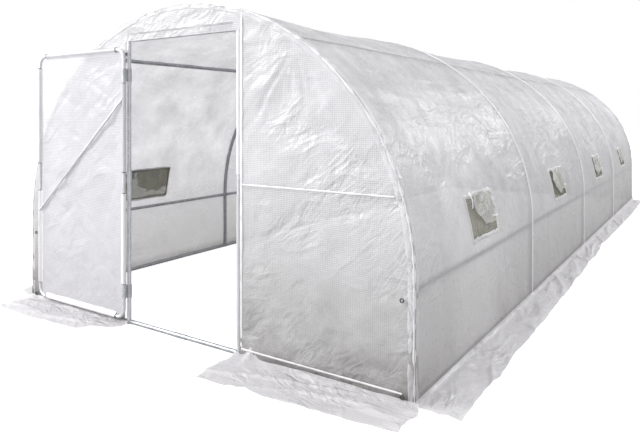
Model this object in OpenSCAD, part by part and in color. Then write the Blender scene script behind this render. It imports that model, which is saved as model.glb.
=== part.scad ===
// Polytunnel greenhouse: galvanised tube hoops and purlins under a film cover, with a
// framed film door in the front end wall. Millimetres. The origin is on the ground at the
// middle of the tunnel, +Y runs along it to the back, -Y is the door end and +Z is up.

/* [Tunnel] */
// Width over the cover at ground level
tunnel_w = 3000; // [2500:10:3600]
// Distance between neighbouring hoops
bay_len = 2000; // [1600:10:2400]
// Height of the straight part of a hoop's legs
leg_h = 550; // [450:5:660]
// Radius of the haunch bow above a leg, to the tube's centre line
haunch_r = 1320; // [1100:5:1590]
// Angle that the haunch bow turns before the flatter crown bow takes over
haunch_angle = 45; // [40:1:50]

/* [Tubes] */
// Diameter of the hoop, purlin and end wall tubes
tube_d = 25; // [20:1:32]
// Wall of the sleeves that join tubes
sleeve_wall = 1.5; // [1:0.1:3]
// Reach of a purlin sleeve from its hoop
sleeve_reach = 60; // [40:5:90]
// Length of the sleeve where two straight tubes meet
joint_len = 100; // [60:5:140]
// Angle of the shoulder purlins up the crown bow
shoulder_angle = 57; // [50:1:70]
// Drop of the side purlins below the top of the straight legs
side_purlin_drop = 30; // [20:5:120]

/* [End walls] */
// Distance between the centres of the door jambs
jamb_gap = 910; // [750:5:1100]
// Drop of the head rail over the door below the top of the hoops
head_drop = 160; // [130:2:200]
// Height of the rails beside the door, at half height
mid_rail_h = 925; // [760:5:1110]

/* [Cover] */
// Thickness of the cover film as modelled
film_t = 3; // [2:0.5:5]
// Width of the ground flaps along the sides
side_flap_w = 200; // [150:5:260]
// Width of the ground flaps at the ends
end_flap_w = 270; // [200:5:330]
// Width of a ventilation window
window_w = 450; // [360:5:560]
// Height of a ventilation window
window_h = 250; // [200:5:310]
// Height of a window's lower edge
window_z = 600; // [570:5:730]

/* [Door] */
// Diameter of the door leaf's tubes
leaf_tube_d = 20; // [16:1:24]
// Distance between the centres of the leaf's stiles
leaf_w = 900; // [740:5:905]
// Height of the leaf's bottom rail
leaf_z = 45; // [35:1:60]
// Drop of the leaf's top rail below the head rail over the door
leaf_drop = 62; // [45:1:90]
// Bend radius of the leaf's corners
corner_r = 60; // [50:5:90]
// Diameter of the diagonal brace
brace_d = 13; // [10:1:16]
// Drop of the brace's upper end below the leaf's top rail
brace_top_drop = 305; // [200:5:400]
// Rise of the brace's lower end above the leaf's bottom rail
brace_foot_rise = 595; // [400:5:700]
// Distance of the leaf in front of the jambs
leaf_out = 40; // [37:1:55]
// Height of a hinge bracket
hinge_h = 80; // [60:5:110]
// Wall of a hinge bracket
hinge_wall = 3; // [2:0.5:4]
// Distance of the hinges from the leaf's rails
hinge_inset = 160; // [120:5:220]

/* [Fits] */
// Gap between pieces that sit on each other
seat_gap = 0.3; // [0.2:0.05:0.4]
// Radial clearance of the leaf's stile in its hinge eyes
hinge_clearance = 0.05; // [0.02:0.01:0.1]
// Room kept round the hinge eyes in the leaf's film
hinge_room = 7; // [5:1:10]

/* [Hidden] */

galvanised = [0.62, 0.64, 0.66];
film_white = [0.93, 0.94, 0.95];
net_grey = [0.78, 0.80, 0.78];
// Steps round a small tube, and round a bow of more than a metre's radius
tube_fn = 48;
bow_fn = 360;
// Overshoot of a cutting solid past the face that it cuts
over = 1;
// Length of hoop that an end is cut to fit, in tube diameters
stub_share = 6;

bays = 4;
end_y = bays * bay_len / 2;
tube_r = tube_d / 2;
sleeve_r = tube_r + sleeve_wall;
// Clear distance between the hoops' tubes and the cover, which rests on the sleeves
film_gap = sleeve_wall + seat_gap;
film_in = tube_r + film_gap;
film_out = film_in + film_t;

// Centre line of a hoop: straight leg, haunch bow, crown bow
half_w = tunnel_w / 2 - film_out;
haunch_x = half_w - haunch_r;
crown_r = haunch_r + haunch_x / cos(haunch_angle);
crown_z = leg_h - haunch_x * tan(haunch_angle);
ridge_z = crown_z + crown_r;
shoulder_x = crown_r * cos(shoulder_angle);
shoulder_z = crown_z + crown_r * sin(shoulder_angle);
side_purlin_z = leg_h - side_purlin_drop;
haunch_top_z = leg_h + haunch_r * sin(haunch_angle);
function crown_height(x) = crown_z + sqrt(pow(crown_r, 2) - pow(x, 2));
function haunch_reach(z) = haunch_x + sqrt(pow(haunch_r, 2) - pow(z - leg_h, 2));
function crown_reach(z) = sqrt(pow(crown_r, 2) - pow(z - crown_z, 2));
function hoop_reach(z) = z > haunch_top_z ? crown_reach(z) : haunch_reach(z);
// Angle of the hoop's radius above the horizontal, at height z
function haunch_slope(z) = asin((z - leg_h) / haunch_r);
function crown_slope(z) = asin((z - crown_z) / crown_r);
function hoop_slope(z) = z > haunch_top_z ? crown_slope(z) : haunch_slope(z);

jamb_x = jamb_gap / 2;
doorway_x = jamb_x - tube_r;
head_h = ridge_z - head_drop;
door_y = -end_y - leaf_out;
leaf_h = head_h - leaf_drop - leaf_z;
leaf_r = leaf_tube_d / 2;
eye_r = leaf_r + hinge_clearance + hinge_wall;
clamp_r = tube_r + seat_gap + hinge_wall;
hinge_low_z = leaf_z + hinge_inset;
hinge_high_z = leaf_z + leaf_h - hinge_inset;
// Lengthwise strips that the crown, and the haunch above the windows, are cut into
roof_strips = 8;
haunch_strips = 4;
// Film left above a window in its strip, and the angle up the haunch where that strip ends
window_rim = 40;
window_split = haunch_slope(window_z + window_h + window_rim);
sheet_end = end_y + film_in;
// Where the lower haunch strip of a bay starts, and where the last one ends
function bay_edge(bay) = bay == 0 ? -sheet_end : bay == bays ? sheet_end : bay * bay_len - end_y;
// Straight edges in each bow of an end sheet, and the angle left out where two bows meet
edge_steps = 16;
edge_spare = 1;

// Shapes shared by several pieces

module both_sides() {
    children();
    mirror([1, 0, 0]) children();
}

// Round bar along X, Y or Z that starts at a point
module bar_x(length, r) rotate([0, 90, 0]) cylinder(r = r, h = length, $fn = tube_fn);
module bar_y(length, r) rotate([-90, 0, 0]) cylinder(r = r, h = length, $fn = tube_fn);
module bar_z(length, r) cylinder(r = r, h = length, $fn = tube_fn);

// Bent bar in the XZ plane, with its angles counted up from +X
module bow(bend_r, from, to, r) {
    rotate([90, 0, 0])
        rotate([0, 0, from])
            rotate_extrude(angle = to - from, $fn = bow_fn)
                translate([bend_r, 0]) circle(r = r, $fn = tube_fn);
}

// Bar of radius r that follows a whole hoop in the plane y = 0
module hoop_bar(r) {
    both_sides() {
        translate([half_w, 0, 0]) bar_z(leg_h, r);
        translate([haunch_x, 0, leg_h]) bow(haunch_r, 0, haunch_angle, r);
        translate([0, 0, crown_z]) bow(crown_r, haunch_angle, 90, r);
    }
}

module hoop(index) {
    color(galvanised) translate([0, index * bay_len - end_y, 0]) hoop_bar(tube_r);
}

// Room for the hoop where a tube's end meets it at x, z and at the angle cross. The stub is
// straight, so it is thicker by what the hoop bends over the length that the end covers.
module hoop_stub(x, z, cross) {
    length = stub_share * tube_d;
    bend_room = pow(tube_r * (1 + cos(cross)) / sin(cross), 2) / (2 * haunch_r);
    translate([x, 0, z])
        rotate([0, -hoop_slope(z), 0])
            translate([0, 0, -length / 2])
                bar_z(length, tube_r + seat_gap + bend_room);
}

// One straight tube in each bay between the hoops, through the point x, z
module tube_run(x, z) {
    length = bay_len - 2 * (tube_r + seat_gap);
    color(galvanised)
        for (bay = [0 : bays - 1])
            translate([x, bay * bay_len - end_y + tube_r + seat_gap, z])
                bar_y(length, tube_r);
}

// The same with a sleeve over each end
module purlin(x, z) {
    length = bay_len - 2 * (tube_r + seat_gap);
    color(galvanised)
        for (bay = [0 : bays - 1])
            translate([x, bay * bay_len - end_y + tube_r + seat_gap, z]) {
                bar_y(length, tube_r);
                bar_y(sleeve_reach, sleeve_r);
                translate([0, length - sleeve_reach, 0]) bar_y(sleeve_reach, sleeve_r);
            }
}

// Strip of the cover that follows a bow, with half a seat gap off each of its edges
module bow_strip(bend_r, from, to, y_from, y_to) {
    inner_r = bend_r + film_in;
    spare = seat_gap / 2 / inner_r * 180 / PI;
    translate([0, y_to - seat_gap / 2, 0])
        rotate([90, 0, 0])
            rotate([0, 0, from + spare])
                rotate_extrude(angle = to - from - 2 * spare, $fn = bow_fn)
                    translate([inner_r, 0]) square([film_t, y_to - y_from - seat_gap]);
}

// Points of an end sheet's edge along a bow round the centre [x, z]
function edge_arc(x, z, bend_r, from, to) = [
    for (step = [0 : edge_steps])
        let (angle = from + (to - from) * step / edge_steps)
            [x + (bend_r + film_out) * cos(angle), z + (bend_r + film_out) * sin(angle)]
];

// Whole end wall sheet, its front face at y = 0 and its thickness behind it
module end_sheet() {
    turn = 180 - haunch_angle;
    edge = concat(
        [[-half_w - film_out, 0], [half_w + film_out, 0]],
        edge_arc(haunch_x, leg_h, haunch_r, 0, haunch_angle - edge_spare),
        edge_arc(0, crown_z, crown_r, haunch_angle, turn),
        edge_arc(-haunch_x, leg_h, haunch_r, turn + edge_spare, 180)
    );
    translate([0, film_t, 0]) rotate([90, 0, 0]) linear_extrude(film_t) polygon(edge);
}

// Frame

// Upright of an end wall, cut to fit under the hoop, with its joint sleeve
module end_post(x) {
    color(galvanised)
        difference() {
            translate([x, 0, 0]) {
                bar_z(crown_height(x), tube_r);
                translate([0, 0, mid_rail_h - joint_len / 2])
                    bar_z(joint_len, sleeve_r);
            }
            hoop_stub(x, crown_height(x), crown_slope(crown_height(x)));
        }
}

// Rail from the jamb to the hoop at height z, on the right
module side_rail(z) {
    start = jamb_x + sleeve_r + seat_gap;
    color(galvanised)
        difference() {
            translate([start, 0, z]) bar_x(hoop_reach(z) - start, tube_r);
            hoop_stub(hoop_reach(z), z, 90 - hoop_slope(z));
        }
}

// Rail at height z between the two uprights, whose radius there is post_r
module centre_rail(z, post_r) {
    start = jamb_x - post_r - seat_gap;
    color(galvanised) translate([-start, 0, z]) bar_x(2 * start, tube_r);
}

// Ground tube from the jamb to the hoop's leg, on the right
module ground_rail() {
    start = jamb_x + tube_r + seat_gap;
    color(galvanised)
        translate([start, 0, tube_r]) bar_x(half_w - tube_r - seat_gap - start, tube_r);
}

module front_base_rails() {
    translate([0, -end_y, 0]) both_sides() ground_rail();
}

// Ground tube across the doorway, in two halves under one sleeve
module door_sill() {
    length = 2 * (doorway_x - seat_gap);
    color(galvanised)
        translate([0, -end_y, sleeve_r]) {
            translate([-length / 2, 0, 0]) bar_x(length, tube_r);
            translate([-joint_len / 2, 0, 0]) bar_x(joint_len, sleeve_r);
        }
}

module front_jamb() {
    translate([0, -end_y, 0]) end_post(jamb_x);
}

module front_head_rail() {
    translate([0, -end_y, 0]) centre_rail(head_h, tube_r);
}

module front_side_rails() {
    translate([0, -end_y, 0])
        both_sides() {
            side_rail(mid_rail_h);
            side_rail(shoulder_z);
        }
}

module back_posts() {
    translate([0, end_y, 0]) both_sides() end_post(jamb_x);
}

module back_rails() {
    translate([0, end_y, 0]) {
        both_sides() {
            side_rail(mid_rail_h);
            ground_rail();
        }
        centre_rail(mid_rail_h, sleeve_r);
        centre_rail(tube_r, tube_r);
    }
}

// Door

// Bracket whose clamp holds the jamb and whose eye carries the leaf's stile
module hinge(z) {
    color(galvanised)
        translate([-jamb_x, -end_y, z - hinge_h / 2])
            difference() {
                union() {
                    bar_z(hinge_h, clamp_r);
                    translate([0, -leaf_out, 0]) bar_z(hinge_h, eye_r);
                    translate([-hinge_wall / 2, -leaf_out, 0])
                        cube([hinge_wall, leaf_out, hinge_h]);
                }
                translate([0, 0, -over]) bar_z(hinge_h + 2 * over, tube_r + seat_gap);
                translate([0, -leaf_out, -over])
                    bar_z(hinge_h + 2 * over, leaf_r + hinge_clearance);
            }
}

// The leaf stands open, so it reaches from its hinges towards -X
module on_leaf() {
    translate([-jamb_x, door_y, leaf_z]) children();
}

// Frame of the leaf with its bent corners, as a bar of radius r
module leaf_bar(r) {
    run_w = leaf_w - 2 * corner_r;
    run_h = leaf_h - 2 * corner_r;
    for (z = [0, leaf_h])
        translate([-leaf_w + corner_r, 0, z]) bar_x(run_w, r);
    for (x = [0, -leaf_w])
        translate([x, 0, corner_r]) bar_z(run_h, r);
    translate([-corner_r, 0, leaf_h - corner_r]) bow(corner_r, 0, 90, r);
    translate([corner_r - leaf_w, 0, leaf_h - corner_r]) bow(corner_r, 90, 180, r);
    translate([corner_r - leaf_w, 0, corner_r]) bow(corner_r, 180, 270, r);
    translate([-corner_r, 0, corner_r]) bow(corner_r, 270, 360, r);
}

module door_frame() {
    color(galvanised)
        on_leaf() {
            leaf_bar(leaf_r);
            for (x = [0, -leaf_w])
                translate([x, 0, (leaf_h - joint_len) / 2])
                    bar_z(joint_len, leaf_r + sleeve_wall);
        }
}

// Diagonal tube on the inner side of the leaf, cut to fit over its stiles
module door_brace() {
    fall = leaf_h - brace_top_drop - brace_foot_rise;
    length = sqrt(pow(leaf_w, 2) + pow(fall, 2));
    side = film_t / 2 + seat_gap + brace_d / 2;
    color(galvanised)
        on_leaf()
            difference() {
                translate([0, -side, leaf_h - brace_top_drop])
                    rotate([0, -90 - atan2(fall, leaf_w), 0])
                        bar_z(length, brace_d / 2);
                leaf_bar(leaf_r + seat_gap);
            }
}

module door_film() {
    inset = leaf_r + sleeve_wall + seat_gap;
    round_r = corner_r - inset;
    notch_w = eye_r + hinge_room;
    notch_h = hinge_h + 2 * hinge_room;
    color(film_white)
        on_leaf()
            difference() {
                union() {
                    translate([inset - leaf_w, -film_t / 2, corner_r])
                        cube([leaf_w - 2 * inset, film_t, leaf_h - 2 * corner_r]);
                    translate([corner_r - leaf_w, -film_t / 2, inset])
                        cube([leaf_w - 2 * corner_r, film_t, leaf_h - 2 * inset]);
                    for (x = [corner_r - leaf_w, -corner_r])
                        for (z = [corner_r, leaf_h - corner_r])
                            translate([x, -film_t / 2, z]) bar_y(film_t, round_r);
                }
                for (z = [hinge_low_z, hinge_high_z])
                    translate([-notch_w, -film_t, z - leaf_z - notch_h / 2])
                        cube([notch_w, 2 * film_t, notch_h]);
            }
}

// Cover

module wall_film() {
    length = 2 * sheet_end - seat_gap;
    color(film_white)
        translate([half_w + film_in, -length / 2, 0]) cube([film_t, length, leg_h - seat_gap]);
}

// Window outline of one bay, grown by a margin all round
module window_block(bay, margin) {
    y = (bay + 1 / 2) * bay_len - end_y - window_w / 2;
    translate([half_w / 2, y - margin, window_z - margin])
        cube([half_w, window_w + 2 * margin, window_h + 2 * margin]);
}

// Lower strip of the haunch over one bay
module window_strip(bay) {
    translate([haunch_x, 0, leg_h])
        bow_strip(haunch_r, 0, window_split, bay_edge(bay), bay_edge(bay + 1));
}

module eaves_film() {
    turn = (haunch_angle - window_split) / haunch_strips;
    color(film_white) {
        for (bay = [0 : bays - 1])
            difference() {
                window_strip(bay);
                window_block(bay, 0);
            }
        translate([haunch_x, 0, leg_h])
            for (strip = [0 : haunch_strips - 1])
                bow_strip(
                    haunch_r, window_split + strip * turn, window_split + (strip + 1) * turn,
                    -sheet_end, sheet_end
                );
    }
}

module window_nets() {
    color(net_grey)
        for (bay = [0 : bays - 1])
            intersection() {
                window_strip(bay);
                window_block(bay, -seat_gap);
            }
}

module roof_film() {
    turn = (180 - 2 * haunch_angle) / roof_strips;
    color(film_white)
        translate([0, 0, crown_z])
            for (strip = [0 : roof_strips - 1])
                bow_strip(
                    crown_r, haunch_angle + strip * turn, haunch_angle + (strip + 1) * turn,
                    -sheet_end, sheet_end
                );
}

// Part of the front sheet between two x values, from height z up
module front_film(x_low, x_high, z) {
    color(film_white)
        translate([0, -end_y - film_out, 0])
            intersection() {
                end_sheet();
                translate([x_low, -over, z])
                    cube([x_high - x_low, film_t + 2 * over, ridge_z + film_out]);
            }
}

module front_film_left() {
    notch_h = hinge_h + 2 * hinge_room;
    color(film_white)
        difference() {
            front_film(-tunnel_w, -doorway_x, 0);
            for (z = [hinge_low_z, hinge_high_z])
                translate([-jamb_x - clamp_r - hinge_room, -end_y - film_out - over, z - notch_h / 2])
                    cube([2 * (clamp_r + hinge_room), film_t + 2 * over, notch_h]);
        }
}

module back_film() {
    color(film_white) translate([0, end_y + film_in, 0]) end_sheet();
}

// Ground flap that lies flat, as wide and as deep as given
module flap(x, y, w, d) {
    color(film_white) translate([x, y, 0]) cube([w, d, film_t]);
}

skirt_y = end_y + film_out + seat_gap;
skirt_x = tunnel_w / 2 + seat_gap;

hoop(0);  // hoop_front
hoop(1);  // hoop_2
hoop(2);  // hoop_3
hoop(3);  // hoop_4
hoop(bays);  // hoop_back
purlin(0, ridge_z);  // ridge_purlin
purlin(-shoulder_x, shoulder_z);  // shoulder_purlin_left
purlin(shoulder_x, shoulder_z);  // shoulder_purlin_right
purlin(-half_w, side_purlin_z);  // side_purlin_left
purlin(half_w, side_purlin_z);  // side_purlin_right
tube_run(-half_w, tube_r);  // base_rail_left
tube_run(half_w, tube_r);  // base_rail_right
front_base_rails();
door_sill();
mirror([1, 0, 0]) front_jamb();  // front_jamb_left
front_jamb();  // front_jamb_right
front_head_rail();
front_side_rails();
back_posts();
back_rails();
hinge(hinge_high_z);  // hinge_upper
hinge(hinge_low_z);  // hinge_lower
door_frame();
door_brace();
door_film();
mirror([1, 0, 0]) wall_film();  // wall_film_left
wall_film();  // wall_film_right
mirror([1, 0, 0]) eaves_film();  // eaves_film_left
eaves_film();  // eaves_film_right
roof_film();
mirror([1, 0, 0]) window_nets();  // window_nets_left
window_nets();  // window_nets_right
front_film_left();
front_film(doorway_x, tunnel_w, 0);  // front_film_right
front_film(seat_gap - doorway_x, doorway_x - seat_gap, head_h - tube_r);  // front_film_top
back_film();
flap(-tunnel_w / 2, -skirt_y - end_flap_w, tunnel_w / 2 - doorway_x, end_flap_w);  // skirt_front_left
flap(doorway_x, -skirt_y - end_flap_w, tunnel_w / 2 - doorway_x, end_flap_w);  // skirt_front_right
flap(-skirt_x - side_flap_w, -end_y, side_flap_w, 2 * end_y);  // skirt_left
flap(skirt_x, -end_y, side_flap_w, 2 * end_y);  // skirt_right
flap(-tunnel_w / 2, skirt_y, tunnel_w, end_flap_w);  // skirt_back
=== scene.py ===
"""Looks of a walk-in polytunnel greenhouse: galvanised tube frame under a cover of woven-reinforced
polyethylene film, with netted windows, ground flaps all round and a hinged film door.

Metres throughout. The origin is on the ground at the middle of the tunnel, +Y runs to the back.
"""
import math

import bpy
import numpy as np
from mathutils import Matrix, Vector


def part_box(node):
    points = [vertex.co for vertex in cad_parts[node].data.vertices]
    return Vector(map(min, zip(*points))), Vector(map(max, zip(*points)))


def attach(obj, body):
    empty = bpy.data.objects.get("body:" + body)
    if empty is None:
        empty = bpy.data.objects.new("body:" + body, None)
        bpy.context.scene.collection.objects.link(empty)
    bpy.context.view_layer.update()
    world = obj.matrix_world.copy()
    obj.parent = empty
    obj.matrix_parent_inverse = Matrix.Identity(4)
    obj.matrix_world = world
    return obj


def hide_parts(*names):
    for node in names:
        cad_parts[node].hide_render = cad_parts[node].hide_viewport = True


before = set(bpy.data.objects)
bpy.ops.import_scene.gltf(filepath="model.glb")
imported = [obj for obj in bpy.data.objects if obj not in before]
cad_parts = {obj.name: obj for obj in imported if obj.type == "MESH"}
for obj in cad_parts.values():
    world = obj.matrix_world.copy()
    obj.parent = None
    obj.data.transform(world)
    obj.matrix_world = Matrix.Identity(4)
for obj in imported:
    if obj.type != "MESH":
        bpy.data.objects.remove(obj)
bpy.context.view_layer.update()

# ---------------- sizes

# Hoop's centre line: straight leg, haunch bow, flatter crown bow
LEG_H = 0.55
HAUNCH_R = 1.32
HAUNCH_ANGLE = math.radians(45)
# Angle of the shoulder purlins up the crown bow
SHOULDER_ANGLE = math.radians(57)
BAYS = 4
# No film reaches lower than this over the ground
LOWEST = 0.001
# Window openings in the cover, one in each bay on both sides
WINDOW_W = 0.45
WINDOW_Z = (0.60, 0.85)


def middle(node_name, axis):
    """Middle of a node's box along an axis."""
    return sum(corner[axis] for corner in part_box(node_name)) / 2


hoop_low, hoop_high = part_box("hoop_front")
TUBE_R = (hoop_high[1] - hoop_low[1]) / 2
FRONT_Y = hoop_low[1] + TUBE_R
BACK_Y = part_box("hoop_back")[0][1] + TUBE_R
BAY_LEN = (BACK_Y - FRONT_Y) / BAYS
HALF_W = hoop_high[0] - TUBE_R
HAUNCH_X = HALF_W - HAUNCH_R
CROWN_R = HAUNCH_R + HAUNCH_X / math.cos(HAUNCH_ANGLE)
CROWN_Z = LEG_H - HAUNCH_X * math.tan(HAUNCH_ANGLE)

film_low, film_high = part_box("front_film_right")
# The film lies mid-way through the thickness that its solid has
FILM_OFF = film_high[0] - HALF_W - (film_high[1] - film_low[1]) / 2
FRONT_FILM_Y = (film_low[1] + film_high[1]) / 2
BACK_FILM_Y = middle("back_film", 1)
DOORWAY_X = film_low[0]
DOORWAY_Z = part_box("front_film_top")[0][2]
JAMB_X = DOORWAY_X + TUBE_R
HEAD_Z = DOORWAY_Z + TUBE_R
MID_RAIL_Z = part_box("back_rails")[1][2] - TUBE_R

leaf_low, leaf_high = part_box("door_frame")
# Tube radius and corner bend of the door leaf
LEAF_R = 0.010
LEAF_X = (leaf_low[0] + LEAF_R, leaf_high[0] - LEAF_R)
LEAF_Z = (leaf_low[2] + LEAF_R, leaf_high[2] - LEAF_R)
LEAF_Y = (leaf_low[1] + leaf_high[1]) / 2
LEAF_CORNER_R = 0.06
HINGE_Z = [middle(name, 2) for name in ("hinge_lower", "hinge_upper")]
SHOULDER_X = CROWN_R * math.cos(SHOULDER_ANGLE)
SHOULDER_Z = CROWN_Z + CROWN_R * math.sin(SHOULDER_ANGLE)
SIDE_PURLIN_Z = middle("side_purlin_right", 2)


# ---------------- shapes and noise

def hoop_arcs(off):
    """Lengths of the haunch and of half the crown in a hoop's section grown by off."""
    return HAUNCH_ANGLE * (HAUNCH_R + off), (math.pi / 2 - HAUNCH_ANGLE) * (CROWN_R + off)


def hoop_line(s, off):
    """Points and outward normals along a hoop's section, grown by off, at the length s up from the
    ground on the right and over to the left."""
    haunch, crown = hoop_arcs(off)
    half = LEG_H + haunch + crown
    s = np.asarray(s, float)
    left = s > half
    up = np.where(left, 2 * half - s, s)
    on_haunch = (up - LEG_H) / (HAUNCH_R + off)
    on_crown = HAUNCH_ANGLE + (up - LEG_H - haunch) / (CROWN_R + off)
    angle = np.where(up < LEG_H, 0.0, np.where(up < LEG_H + haunch, on_haunch, on_crown))
    radius = np.where(up < LEG_H + haunch, HAUNCH_R, CROWN_R) + off
    centre_x = np.where(up < LEG_H + haunch, HAUNCH_X, 0.0)
    centre_z = np.where(up < LEG_H + haunch, LEG_H, CROWN_Z)
    x = centre_x + radius * np.cos(angle)
    z = np.where(up < LEG_H, up, centre_z + radius * np.sin(angle))
    side = np.where(left, -1.0, 1.0)
    return side * x, z, side * np.cos(angle), np.sin(angle)


def hoop_length(off):
    """Length of the section grown by off, from ground to ground."""
    haunch, crown = hoop_arcs(off)
    return 2 * (LEG_H + haunch + crown)


def length_at(z):
    """Length up the film's section on the right at height z."""
    if z <= LEG_H:
        return z
    haunch = HAUNCH_ANGLE * (HAUNCH_R + FILM_OFF)
    rise = (z - LEG_H) / (HAUNCH_R + FILM_OFF)
    if rise < math.sin(HAUNCH_ANGLE):
        return LEG_H + math.asin(rise) * (HAUNCH_R + FILM_OFF)
    turn = math.asin(min(1.0, (z - CROWN_Z) / (CROWN_R + FILM_OFF))) - HAUNCH_ANGLE
    return LEG_H + haunch + turn * (CROWN_R + FILM_OFF)


# Noise repeats after so many units
NOISE_CELLS = 64


def noise(u, v, seed):
    """Smooth noise from -1 to 1 that swings about once a unit."""
    table = np.random.default_rng(seed).uniform(-1, 1, (NOISE_CELLS, NOISE_CELLS))
    u, v = np.broadcast_arrays(np.asarray(u, float), np.asarray(v, float))
    iu, iv = np.floor(u).astype(int), np.floor(v).astype(int)
    fu, fv = u - iu, v - iv
    fu, fv = fu * fu * (3 - 2 * fu), fv * fv * (3 - 2 * fv)
    iu, iv, ju, jv = (place % NOISE_CELLS for place in (iu, iv, iu + 1, iv + 1))
    low = table[iu, iv] * (1 - fu) + table[ju, iv] * fu
    high = table[iu, jv] * (1 - fu) + table[ju, jv] * fu
    return low * (1 - fv) + high * fv


def fold(value, sharpness=2.4):
    """Noise turned into folds: 1 along sharp crests where it crosses zero, falling away from them."""
    return 1 - sharpness * np.abs(value)


def crumple(u, v, size, seed, octaves=3):
    """Creased film from about -1 to 1: flat facets of about that size that meet in sharp folds."""
    total = np.zeros(np.broadcast(u, v).shape)
    weight = 0.0
    for k in range(octaves):
        turn = 0.9 + 1.7 * k
        scale = size / 1.9 ** k
        a = (u * math.cos(turn) - v * math.sin(turn)) / scale
        b = (u * math.sin(turn) + v * math.cos(turn)) / scale
        a = a + 0.6 * noise(b * 0.7, a * 0.7, seed + 40 + k)
        total += fold(noise(a, b, seed + k), 2.6) / 1.7 ** k
        weight += 1 / 1.7 ** k
    return total / weight


def ease(x, low, high):
    """Smooth step from 0 at low to 1 at high."""
    t = np.clip((np.asarray(x, float) - low) / (high - low), 0, 1)
    return t * t * (3 - 2 * t)


def stops(low, high, step, *marks):
    """Values from low to high about a step apart, with each mark among them."""
    edges = [low] + sorted(m for m in marks if low < m < high) + [high]
    parts = [
        np.linspace(a, b, max(1, round((b - a) / step)) + 1)[:-1]
        for a, b in zip(edges, edges[1:])
    ]
    return np.concatenate(parts + [[high]])


def make_object(name, verts, faces, material, uvs=None):
    """Mesh object at the origin. uvs holds one pair in metres for each vertex."""
    mesh = bpy.data.meshes.new(name)
    corners = [tuple(map(float, vert)) for vert in verts]
    mesh.from_pydata(corners, [], [tuple(map(int, face)) for face in faces])
    mesh.validate()
    if uvs is not None:
        layer = mesh.uv_layers.new(name="cloth")
        index = np.empty(len(mesh.loops), int)
        mesh.loops.foreach_get("vertex_index", index)
        layer.data.foreach_set("uv", np.asarray(uvs, np.float32)[index].ravel())
    mesh.shade_smooth()
    mesh.materials.append(material)
    obj = bpy.data.objects.new(name, mesh)
    bpy.context.collection.objects.link(obj)
    return obj


def grid(rows, columns):
    """Two grids with the values of rows down and of columns across."""
    return np.meshgrid(rows, columns, indexing="ij")


def grid_faces(rows, columns, keep=None, flip=False):
    """Quads of a grid of points. keep says which of its cells are there."""
    i, j = grid(np.arange(rows - 1), np.arange(columns - 1))
    if keep is not None:
        i, j = i[keep], j[keep]
    a = (i * columns + j).ravel()
    b, c, d = a + 1, a + columns + 1, a + columns
    return np.stack([a, d, c, b] if flip else [a, b, c, d], axis=1)


def make_sheet(name, place, u, v, material, body="root", keep=None, flip=False):
    """Sheet on a body, from grids of its points' x, y and z and of their place on the flat cloth."""
    x, y, z, u, v = np.broadcast_arrays(*place, u, v)
    verts = np.stack([x, y, z], axis=-1).reshape(-1, 3)
    uvs = np.stack([u, v], axis=-1).reshape(-1, 2)
    faces = grid_faces(*x.shape, keep=keep, flip=flip)
    used = np.unique(faces)
    order = np.full(len(verts), -1)
    order[used] = np.arange(len(used))
    obj = make_object(name, verts[used], order[faces], material, uvs[used])
    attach(obj, body)
    return obj


def flat_area(obj):
    """Area of a piece's faces in its flat cloth's coordinates, in square metres."""
    mesh = obj.data
    layer = mesh.uv_layers["cloth"].data
    flat = np.empty(len(layer) * 2)
    layer.foreach_get("uv", flat)
    flat = flat.reshape(-1, 4, 2)
    ahead = np.roll(flat, -1, axis=1)
    doubled = (flat[..., 0] * ahead[..., 1] - flat[..., 1] * ahead[..., 0]).sum(axis=1)
    return float(np.abs(doubled).sum() / 2)


# ---------------- materials

def linear(code):
    """sRGB hex colour as linear RGBA."""
    channels = [int(code[i:i + 2], 16) / 255 for i in (0, 2, 4)]
    return [c / 12.92 if c <= 0.04045 else ((c + 0.055) / 1.055) ** 2.4 for c in channels] + [1.0]


def add(tree, kind, settings=None, **inputs):
    """Adds a node. settings are its own properties and inputs its sockets by name, as a value or as
    another node's output; _n at the end of a name picks the nth socket instead."""
    node = tree.nodes.new(kind)
    for key, value in (settings or {}).items():
        setattr(node, key, value)
    for key, value in inputs.items():
        socket = node.inputs[int(key[1:])] if key[0] == "_" else node.inputs[key.replace("_", " ")]
        if isinstance(value, bpy.types.NodeSocket):
            tree.links.new(value, socket)
        else:
            socket.default_value = value
    return node


def new_material(name):
    """Empty material, its node tree and the place on the object that its patterns go by."""
    material = bpy.data.materials.new(name)
    material.use_nodes = True
    tree = material.node_tree
    tree.nodes.clear()
    return material, tree, add(tree, "ShaderNodeTexCoord").outputs["Object"]


def ramp(tree, factor, *points):
    """Colour ramp through (position, hex colour) points."""
    node = add(tree, "ShaderNodeValToRGB", Fac=factor)
    elements = node.color_ramp.elements
    while len(elements) < len(points):
        elements.new(0.5)
    for element, (position, code) in zip(elements, points):
        element.position = position
        element.color = linear(code)
    return node.outputs["Color"]


def calc(tree, operation, *values, clamp=False):
    """Result of a Math node."""
    sockets = {f"_{place}": value for place, value in enumerate(values)}
    settings = {"operation": operation, "use_clamp": clamp}
    return add(tree, "ShaderNodeMath", settings, **sockets).outputs[0]


def spread(tree, value, low, high, to_low=0.0, to_high=1.0, smooth=False):
    """Value mapped from low and high to two other ends."""
    settings = {"interpolation_type": "SMOOTHSTEP" if smooth else "LINEAR"}
    ends = {"From_Min": low, "From_Max": high, "To_Min": to_low, "To_Max": to_high}
    return add(tree, "ShaderNodeMapRange", settings, Value=value, **ends).outputs["Result"]


def clouds(tree, place, scale, detail, roughness=0.5, distortion=0.0):
    """Cloudy pattern with about scale swings in a metre."""
    return add(tree, "ShaderNodeTexNoise", Vector=place, Scale=scale, Detail=detail,
               Roughness=roughness, Distortion=distortion).outputs["Fac"]


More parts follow.
